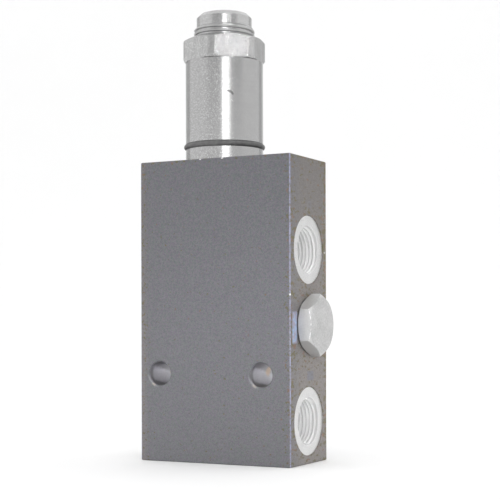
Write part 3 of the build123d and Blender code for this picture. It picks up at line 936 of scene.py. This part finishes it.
# %% The thread tree
def thread_tree():
    """Node tree that winds a thread on each point of its mesh; Side is 1 outside, -1 in a bore."""
    tree = bpy.data.node_groups.new("screw_thread", "GeometryNodeTree")
    sizes = ("Turns", "Pitch", "Root Radius", "Depth", "Base Width", "Crest Width", "Sink")
    sizes += ("Side", "Cone Radius", "Cone Slope")
    sockets = {"Geometry": "Geometry", "Finish": "Material"}
    sockets.update(dict.fromkeys(sizes, "Float"))
    for name, kind in sockets.items():
        tree.interface.new_socket(name, in_out="INPUT", socket_type="NodeSocket" + kind)
    tree.interface.new_socket("Geometry", in_out="OUTPUT", socket_type="NodeSocketGeometry")
    new = Wire(tree)
    given = new.node("NodeGroupInput").output.node.outputs
    read = {name: Wire(tree, given[name]) for name in sockets}
    # The helix, whose ridge grows and shrinks over the first and last third of a turn
    sockets = {
        "Resolution": 96,
        "Rotations": read["Turns"],
        "Start Radius": read["Root Radius"],
        "End Radius": read["Root Radius"],
        "Height": read["Turns"] * read["Pitch"],
    }
    helix = new.node("GeometryNodeCurveSpiral", None, sockets)
    along = new.node("GeometryNodeSplineParameter")
    ends = new.maths("MINIMUM", along, 1 - along) / (0.3 / read["Turns"])
    size = new.maths("MINIMUM", new.maths("MAXIMUM", ends, 0.02), 1.0)
    helix = new.node("GeometryNodeSetCurveNormal", {"mode": "Z_UP"}, {0: helix})
    # The ridge's section, its height along the radius and its foot sunk below the root
    sockets = {
        "Height": read["Depth"] + read["Sink"],
        "Bottom Width": read["Base Width"],
        "Top Width": read["Crest Width"],
        "Offset": 0.0,
    }
    four_sided = {"mode": "TRAPEZOID"}
    section = new.node("GeometryNodeCurvePrimitiveQuadrilateral", four_sided, sockets)
    fillet = read["Crest Width"] * 0.48
    sockets = {"Curve": section, "Count": 3, "Radius": fillet, "Limit Radius": True}
    section = new.node("GeometryNodeFilletCurve", {"mode": "POLY"}, sockets)
    lift = new.node("ShaderNodeCombineXYZ", None, {"Y": (read["Depth"] - read["Sink"]) / 2})
    section = new.node("GeometryNodeTransform", None, {"Geometry": section, "Translation": lift})
    quarter = new.node("ShaderNodeCombineXYZ", None, {"Z": read["Side"] * (pi / 2)})
    section = new.node("GeometryNodeTransform", None, {"Geometry": section, "Rotation": quarter})
    sockets = {"Curve": helix, "Profile Curve": section, "Scale": size, "Fill Caps": True}
    ridge = new.node("GeometryNodeCurveToMesh", None, sockets)
    # Hold the ridge inside the cone: the radius may not pass it on the thread's free side
    x, y, z = new.node("GeometryNodeInputPosition").split()
    radius = new.maths("SQRT", x * x + y * y)
    cone = read["Cone Radius"] + read["Cone Slope"] * z
    held = new.maths("MINIMUM", radius * read["Side"], cone * read["Side"]) * read["Side"]
    share = held / radius
    sockets = {"X": x * share, "Y": y * share, "Z": z}
    moved = new.node("ShaderNodeCombineXYZ", None, sockets)
    ridge = new.node("GeometryNodeSetPosition", None, {"Geometry": ridge, "Position": moved})
    # One copy on each point of the tree's own mesh
    points = new.node("GeometryNodeMeshToPoints", None, {"Mesh": read["Geometry"]})
    settings = {"data_type": "FLOAT_VECTOR"}
    facing = new.node("GeometryNodeInputNamedAttribute", settings, {"Name": "facing"})
    turn = new.node("FunctionNodeEulerToRotation", None, {0: facing})
    sockets = {"Points": points, "Instance": ridge, "Rotation": turn}
    copies = new.node("GeometryNodeInstanceOnPoints", None, sockets)
    solid = new.node("GeometryNodeRealizeInstances", None, {0: copies})
    sockets = {"Geometry": solid, "Material": read["Finish"]}
    finished = new.node("GeometryNodeSetMaterial", None, sockets)
    new.node("NodeGroupOutput", None, {0: finished})
    return tree


thread_nodes = thread_tree()
print("thread tree has", len(thread_nodes.nodes), "nodes")


# %% Winding a thread on its places
def wind(name, places, finish, **sizes):
    """Makes the thread at each (point, facing) of places and returns it as a plain piece."""
    mesh = bpy.data.meshes.new(name)
    mesh.from_pydata([point for point, facing in places], [], [])
    facing = mesh.attributes.new("facing", "FLOAT_VECTOR", "POINT")
    for index, place in enumerate(places):
        facing.data[index].vector = place[1]
    made = add(name, mesh)
    nodes = made.modifiers.new("thread", "NODES")
    nodes.node_group = thread_nodes
    sizes["finish"] = finish
    for item in thread_nodes.interface.items_tree:
        key = item.name.lower().replace(" ", "_")
        if key in sizes:
            nodes[item.identifier] = sizes[key]
    bake(made)
    return made


screw_pitch = 1.5 * mm
thread_low = 150.3 * mm
# The screw's thread starts inside the nut, turned so that its crests meet the outline as seen
screw_thread = wind(
    "screw_thread",
    [((cartridge_x, 0, thread_low), (0, 0, radians(-8)))],
    thread_finish,
    turns=4.2,
    pitch=screw_pitch,
    root_radius=screw_root_radius,
    depth=screw_thread_radius - screw_root_radius,
    sink=0.15 * mm,
    base_width=1.46 * mm,
    crest_width=0.5 * mm,
    side=1.0,
    cone_radius=screw_end_radius + 0.1 * mm + screw_thread_top - thread_low,
    cone_slope=-1.0,
)
settle(screw_thread, "adjuster", slot="zinc_plated_steel")


# %% Threads in the four open ports
port_pitch = 1.337 * mm
port_crest_radius = 7.65 * mm
port_run_in = 0.35 * port_pitch
open_ports = [port for port in port_list if port[2] == spotface_radius]
port_places = []
for side, level, mouth, recess in open_ports:
    inwards = radians(-90 * side)
    point = (side * (block_width / 2 - recess - port_run_in), 0, level)
    port_places.append((point, (0, inwards, 0)))
port_threads = wind(
    "port_threads",
    port_places,
    tapped_finish,
    turns=8.4,
    pitch=port_pitch,
    root_radius=port_thread_radius,
    depth=port_thread_radius - port_crest_radius,
    sink=0.1 * mm,
    base_width=1.3 * mm,
    crest_width=0.36 * mm,
    side=-1.0,
    cone_radius=port_thread_radius + port_countersink + 0.04 * mm - port_run_in,
    cone_slope=-1.0,
)
settle(port_threads, "root", slot="phosphated_steel")


# %% [markdown]
# ## The hex plug
# The plug closes the spare load port. Its head is a hexagon that was turned to a chamfer at
# both ends, and a seal lies between it and the block, which shows as a dark line. Only the
# head is seen, but the stem is spun with it, so that the piece is whole.

# %% Plug and seal
plug_axis = port_axis(1, load_level)
head_outline = [
    (0, plug_base),
    (plug_base_radius, plug_base),
    (plug_corner, plug_base + plug_base_chamfer),
    (plug_corner, plug_face - plug_chamfer),
    (plug_face_radius, plug_face),
    (0, plug_face),
]
stem_radius, stem_chamfer, stem_foot = 8.3 * mm, 0.5 * mm, -10.5 * mm
stem_outline = [
    (0, stem_foot),
    (stem_radius - stem_chamfer, stem_foot),
    (stem_radius, stem_foot + stem_chamfer),
    (stem_radius, plug_base + 0.5 * mm),
    (0, plug_base + 0.5 * mm),
]
worn_edge = 0.12 * mm
plug = piece("plug", spin(soften(head_outline, worn_edge), plug_axis, 240), plug_finish)
hexagon = prism(plug_corner, 0, plug_base - 0.5 * mm, plug_face + clear, plug_axis)
combine(plug, hexagon, plug_finish, "INTERSECT")
combine(plug, spin(soften(stem_outline, worn_edge), plug_axis), plug_finish, "UNION")
settle(plug, "root", "hex_plug", slot="zinc_plated_steel")

seal_bore = 8.5 * mm
seal_outline = [
    (seal_bore, -plug_recess_depth),
    (plug_base_radius, -plug_recess_depth),
    (plug_base_radius, plug_base),
    (seal_bore, plug_base),
]
plug_seal = piece("plug_washer", spin(soften(seal_outline, 0.2 * mm), plug_axis), rubber_finish)
settle(plug_seal, "root", "plug_seal", slot="black_rubber")


# %% [markdown]
# ## The pieces inside
# The other CAD nodes keep their meshes, and each gets the finish of its slot in the record.

# %% Finishes of the hidden pieces
slot_of = {part["node"]: part["material_slot"] for part in frame["record"]["subparts"]}
dressed = 0
for name, node in frame["nodes"].items():
    if slot_of[name] in inner_finishes and not node.hide_render:
        node.data.materials.clear()
        node.data.materials.append(inner_finishes[slot_of[name]])
        dressed += 1
print("dressed", dressed, "inner pieces")


# %% [markdown]
# ## Floor, light and camera
# A product picture like this one has an even white surround, so that dark steel reads by its
# own grey. A wide soft light near the camera draws the white line down the cylinders, and two
# weak ones beside it fade the line out to the right. Two small lamps have a honeycomb grid,
# which is their `spread`: one reaches the nut and one the ports. The camera looks level, and
# its lens is shifted, which keeps upright edges upright.

# %% Directions in the studio
camera_place = Vector((0.22128, -0.41250, 0.04999))
cartridge_middle = Vector((cartridge_x, 0, 0.13))
towards_camera = (camera_place - cartridge_middle) * Vector((1, 1, 0))
towards_camera.normalize()
print("the camera is towards", [round(part, 3) for part in towards_camera])


# %% Pale floor
def floor_sweep(reach=2.5, bend=0.5, height=1.5, steps=16):
    """Floor that bends up into a wall behind the valve, so that no line shows between them."""
    back = -towards_camera
    across = Vector((-back.y, back.x, 0))
    angles = [pi / 2 * step / steps for step in range(steps + 1)]
    profile = [(-reach, 0)]
    profile += [(reach / 2 + bend * sin(angle), bend * (1 - cos(angle))) for angle in angles]
    profile.append((reach / 2 + bend, height))
    shape = bmesh.new()
    rows = []
    for along, up in profile:
        ends = (back * along + across * side * reach + Vector((0, 0, up)) for side in (-1, 1))
        rows.append([shape.verts.new(end) for end in ends])
    for (left, right), (next_left, next_right) in zip(rows, rows[1:]):
        shape.faces.new((left, next_left, next_right, right))
    material, place = start_finish("pale_floor")
    cloud = noise(place, 0.3, detail=2.0)
    x, y, z = place.split()
    # To the sides the wall is greyer, which darkens the rims of the bright cylinders
    aside = x * across.x + y * across.y
    shaded = aside.ramp(-0.95, -1.25) * 0.4 + aside.ramp(0.5, 0.8) * 0.4
    white = tint(cloud, grey(0.965), grey(0.985))
    surface(tint(shaded * z.ramp(0.02, 0.2), white, grey(0.3)), 0.7 + cloud * 0.1)
    sweep = piece("floor", shape, material)
    sweep.data.shade_smooth()
    return sweep


floor = floor_sweep()
print("floor sweep is", [round(side, 2) for side in floor.dimensions], "m")


# %% Soft studio light
def softbox(name, place, aim, width, height, power, spread=180):
    """Rectangular area light that faces a point, with a grid if its spread is narrow."""
    light = bpy.data.lights.new(name, "AREA")
    light.shape = "RECTANGLE"
    light.size, light.size_y = width, height
    light.energy, light.spread = power, radians(spread)
    lamp = add(name, light)
    lamp.location = place
    lamp.rotation_euler = (Vector(place) - Vector(aim)).to_track_quat("Z", "Y").to_euler()


def around(angle, height, distance=0.6):
    """Point at an angle to the right of the camera, as seen from the cartridge."""
    turned = Matrix.Rotation(radians(angle), 3, "Z") @ towards_camera
    return turned * distance + Vector((cartridge_x, 0, height))


softbox("strip", around(1.3, 0.235), cartridge_middle, 0.165, 0.2, 0.33)
for step, power in enumerate((0.045, 0.015)):
    place = around(12.0 + 4.3 * step, 0.221)
    softbox("strip_fade_" + str(step), place, cartridge_middle, 0.045, 0.09, power)
nut_place, ports_place = (cartridge_x, 0, nut_top), (block_width / 2, 0, 0.045)
softbox("nut_light", around(21, 0.44), nut_place, 0.12, 0.03, 0.0045, spread=10)
softbox("port_light", around(17, 0.14), ports_place, 0.14, 0.012, 0.009, spread=12)

world = bpy.data.worlds.new("studio")
bpy.context.scene.world = world
world.use_nodes = True
world.node_tree.nodes.clear()
direction = Wire(world.node_tree).node("ShaderNodeTexCoord", take=0)
dot = {"operation": "DOT_PRODUCT"}
near_camera = direction.node("ShaderNodeVectorMath", dot, {0: direction, 1: towards_camera}, 1)
up = direction.split()[2]
# Between the lamps above the camera the studio is darker, and smooth metal shows it
gap = near_camera.ramp(0.45, 0.7) * up.ramp(0.205, 0.225) * up.ramp(0.6, 0.45)
strength = 1.185 - gap * 0.76
sockets = {"Color": grey(1.0), "Strength": strength}
background = direction.node("ShaderNodeBackground", None, sockets)
direction.node("ShaderNodeOutputWorld", None, {"Surface": background})
print("lights:", [lamp.name for lamp in bpy.data.lights])


# %% Camera
lens = bpy.data.cameras.new("camera")
lens.lens = 93.28
lens.sensor_width = 36.0
lens.shift_y = 0.1431
lens.clip_start = 0.01
camera = add("camera", lens)
camera.location = camera_place
yaw, roll = Matrix.Rotation(radians(27.484), 3, "Z"), Matrix.Rotation(radians(-0.154), 3, "Z")
camera.rotation_euler = (yaw @ Matrix.Rotation(pi / 2, 3, "X") @ roll).to_euler()
bpy.context.scene.camera = camera
bpy.context.scene.view_settings.view_transform = "Standard"
print("camera at", tuple(round(value, 3) for value in camera.location))


# %% [markdown] ## End of the scene
